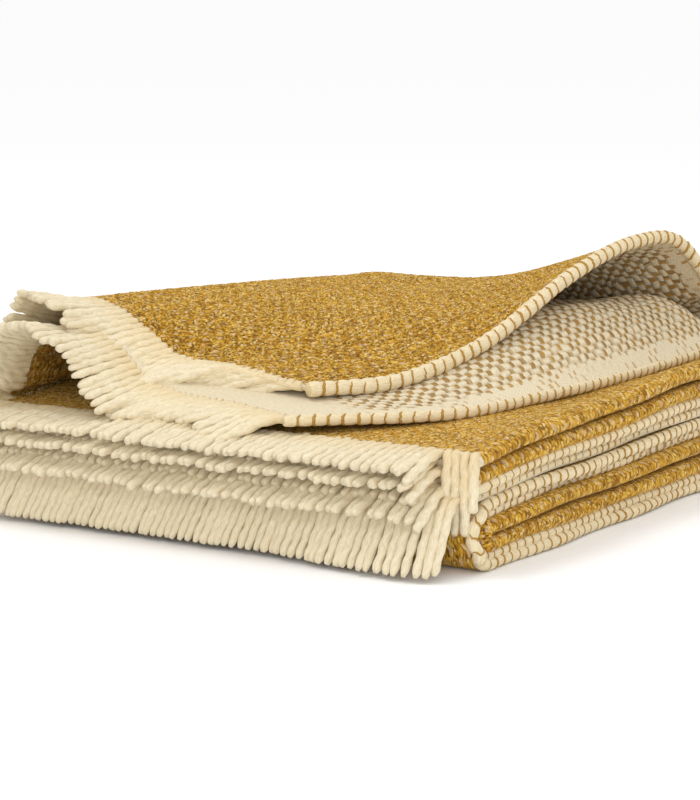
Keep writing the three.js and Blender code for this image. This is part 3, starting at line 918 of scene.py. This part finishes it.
def free_edge(surface, radius):
    """Where a ruffled leaf's selvedge runs, just outside the cloth, and the way out from the cloth."""
    v = np.linspace(0, 1, EDGE_SAMPLES)
    edge = surface(np.array([1.0]), v)[0]
    # the cord starts a little in front of the cloth
    edge[0] += (edge[0] - edge[1]) * 2
    inside = surface(np.array([0.985]), v)[0]
    outward = unit(edge - inside)
    path = edge + outward * radius * 0.6
    path[:, 2] = np.maximum(path[:, 2], radius)
    return path, outward


def make_selvedges():
    outward = np.array([1.0, 0.0, 0.0])
    for name, offset, leaves, seed in (
        ("outer_selvedge", TOP, (16, 9, 8), 31),
        ("inner_selvedge", SECOND, (15, 10, 7), 32),
    ):
        path, radius = pile_cord(offset, leaves)
        cord, wraps = make_cord(name, path, radius, outward, seed)
        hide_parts(*(f"selvedge_{leaf:02d}" for leaf in leaves))
        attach(cord, "pile")
        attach(wraps, "pile")
    for name, surface, body, seed in (
        ("top_leaf", TOP_SURFACE, "top_corner", 33),
        ("second_leaf", SECOND_SURFACE, "second_corner", 34),
    ):
        radius = FREE_CORD_RADIUS[name]
        path, edge_outward = free_edge(surface, radius)
        cord, wraps = make_cord(name + "_selvedge", path, radius, edge_outward, seed, FREE_WRAP_BOLD)
        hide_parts(name + "_selvedge_corner", name + "_selvedge_held")
        turning(cord)
        turning(wraps)


# ---------------------------------------------------------------- fringes
def strand_paths(roots, headings, droops, lengths, bends=0.5):
    """Strands that leave along headings and bend down to their droop, in radians, under gravity.
    bends is the share of a strand's length that it bends in."""
    steps_each = STRAND_RINGS - 1
    share = ((np.arange(steps_each) + 0.5) / steps_each)[None]
    fall = smooth(share / np.reshape(bends, (-1, 1)), 0.0, 1.0) * droops[:, None]
    level = np.cos(fall)[..., None] * headings[:, None, :]
    down = np.sin(fall)[..., None] * np.array([0.0, 0.0, -1.0])
    direction = level + down
    steps = unit(direction) * (lengths / steps_each)[:, None, None]
    return np.concatenate([roots[:, None], roots[:, None] + np.cumsum(steps, axis=1)], axis=1)


def make_strands(name, paths, rng):
    share = np.linspace(0, 1, STRAND_RINGS)
    tip = 1 - 0.5 * smooth(share, 0.94, 1.0)
    body = 1.05 - 0.12 * smooth(share, 0.6, 1.0)
    fluff = 1 + 0.025 * rng.normal(size=(len(paths), STRAND_RINGS))
    radii = STRAND_RADIUS * rng.uniform(0.9, 1.1, len(paths))[:, None] * (body * tip)[None] * fluff
    phases = rng.uniform(0, 2 * math.pi, len(paths))
    piece = make_tubes(
        name, paths, radii, STRAND_SIDES, MATERIALS["fringe"], STRAND_LOBES, STRAND_TWIST, phases
    )
    return piece


def make_pile_fringe(leaf, lean, count, reach_x, shape):
    """A row at the front of the pile, which leans sideways by lean degrees except at its right-hand
    end. shape gives its droop and length at some places in x."""
    rng = np.random.default_rng(100 + leaf)
    x = np.linspace(LEFT + 3, reach_x, count) + rng.uniform(-0.4, 0.4, count)
    roots = settle(np.stack([x, np.full(count, ROOT_DEPTH), np.full(count, leaf_height(leaf))], axis=-1))
    places, droops, lengths = np.transpose(shape)
    droops, lengths = np.interp(x, places, droops), np.interp(x, places, lengths)
    hanging = smooth(droops, 45, 88)
    loose = 1 - 0.8 * hanging
    clump = ripples(200 + leaf, 40)(x, 0)
    lean = lean * (1 - smooth(x, 0, 163))
    swing = np.radians(lean + 3.5 * clump + rng.uniform(-3, 3, count)) * loose
    uneven = (ripples(300 + leaf, 60)(x, 0) + rng.uniform(-1.2, 1.2, count)) * loose
    droops = np.radians(droops + uneven)
    headings = np.stack([np.sin(swing), -np.cos(swing), 0 * swing], axis=-1)
    lengths = lengths + (rng.uniform(-1.8, 1.8, count) + 0.8 * clump) * loose
    bends = 0.5 - 0.4 * hanging
    tips = strand_paths(roots, headings, droops, lengths, bends)[:, -1, 2]
    lengths = lengths * np.minimum((roots[:, 2] - STRAND_RADIUS - 0.3) / (roots[:, 2] - tips), 1)
    paths = strand_paths(roots, headings, droops, lengths, bends)
    piece = make_strands(f"fringe_row_{leaf:02d}", paths, rng)
    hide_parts(f"fringe_{leaf:02d}")
    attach(piece, "pile")


def top_sweep(x):
    return 10 + 44 * smooth(x, -60, 20)


def top_droop(edge):
    x = edge[:, 0]
    return -12 + 30 * smooth(x, -140, -60) - 4 * smooth(x, 0, 35)


def second_sweep(x):
    return 12 + 30 * smooth(x, -80, -20) - 30 * smooth(x, 10, 45)


def second_droop(edge):
    x, z = edge[:, 0], edge[:, 2]
    on_top = -14 + 16 * smooth(x, -135, -90) + 10 * smooth(x, -80, 0) + 18 * smooth(x, 10, 45)
    return on_top - 22 * smooth(-z, -104, -80) * smooth(-x, 145, 165)


def make_ruffled_fringe(name, surface, seed, count, sweep, droop):
    """The fringe of a ruffled leaf. sweep turns its strands sideways by degrees that depend on x, and
    droop bends them down by degrees that depend on where they are."""
    rng = np.random.default_rng(seed)
    samples, lengths = surface_lengths(surface, np.array([0.0]), 0)
    u = np.interp(np.linspace(0, lengths[-1], count + 2)[1:-1], lengths, samples)
    edge = surface(u, np.array([0.0]))[:, 0]
    behind = surface(u, np.array([0.012]))[:, 0]
    outward = unit(edge - behind)
    x = edge[:, 0]
    swing = np.radians(sweep(x) + 4 * ripples(seed + 1, 30)(x, 0) + rng.uniform(-3, 3, len(u)))
    heading = np.stack([
        outward[:, 0] * np.cos(swing) + outward[:, 1] * np.sin(swing),
        outward[:, 1] * np.cos(swing) - outward[:, 0] * np.sin(swing),
        outward[:, 2],
    ], axis=-1)
    droops = np.radians(droop(edge) + rng.uniform(-3, 3, len(u)))
    lengths = STRAND_LENGTH[name] + rng.uniform(-2.5, 2.5, len(u))
    paths = strand_paths(edge - outward * ROOT_DEPTH, unit(heading), droops, lengths)
    piece = make_strands(f"{name}_fringe", paths, rng)
    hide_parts(f"{name}_fringe_corner", f"{name}_fringe_held")
    turning(piece)


def make_fringes():
    # leaf, lean, strands, where the row ends in x, and (x, droop, length) along it
    for row in (
        (3, -8, 61, 172, [(148, 10, 41), (156, 88, 34)]),
        (4, -8, 50, 146, [(130, 16, 28), (148, 20, 28)]),
        (5, -8, 59, 167, [(148, 9, 41), (156, 88, 38)]),
        (6, -12, 50, 146, [(130, 26, 29), (150, 30, 29)]),
        (7, -12, 57, 153, [(130, 23, 42), (153, 34, 40)]),
        (8, -56, 66, 163, [(-172, 62, 58), (60, 64, 57), (122, 58, 64), (146, 57, 62), (163, 62, 52)]),
    ):
        make_pile_fringe(*row)
    make_ruffled_fringe("top_leaf", TOP_SURFACE, 41, 51, top_sweep, top_droop)
    make_ruffled_fringe(
        "second_leaf", SECOND_SURFACE, 51, 54, second_sweep, second_droop
    )


# ---------------------------------------------------------------- floor and light
def make_floor():
    half = 60.0  # metres, so that its edge doesn't show
    floor_mesh = bpy.data.meshes.new("floor")
    corners = [(-half, -half, 0), (half, -half, 0), (half, half, 0), (-half, half, 0)]
    floor_mesh.from_pydata(corners, [], [(0, 1, 2, 3)])
    material = bpy.data.materials.new("floor")
    material.use_nodes = True
    surface = material.node_tree.nodes["Principled BSDF"]
    surface.inputs["Base Color"].default_value = (0.97, 0.97, 0.97, 1)
    surface.inputs["Roughness"].default_value = 1.0
    surface.inputs["Specular IOR Level"].default_value = 0.0
    floor_mesh.materials.append(material)
    floor = bpy.data.objects.new("floor", floor_mesh)
    bpy.context.collection.objects.link(floor)


def add_area_light(name, place, power, size):
    data = bpy.data.lights.new(name, "AREA")
    data.energy = power
    data.size = size
    light = bpy.data.objects.new(name, data)
    light.location = place
    light.rotation_euler = (Vector((0, 0, 0.05)) - Vector(place)).to_track_quat("-Z", "Y").to_euler()
    bpy.context.collection.objects.link(light)


def make_light():
    world = bpy.data.worlds.new("studio")
    world.use_nodes = True
    background = world.node_tree.nodes["Background"]
    background.inputs["Color"].default_value = (1, 1, 1, 1)
    background.inputs["Strength"].default_value = 1.0
    bpy.context.scene.world = world
    bpy.context.scene.view_settings.view_transform = "Standard"
    add_area_light("key", (-0.5, -0.5, 1.9), 9, 0.8)
    add_area_light("fill", (1.0, -1.6, 0.5), 8, 1.0)


make_camera()
make_light()
make_floor()
make_pile_cloth()
make_ruffled_leaves()
make_selvedges()
make_fringes()
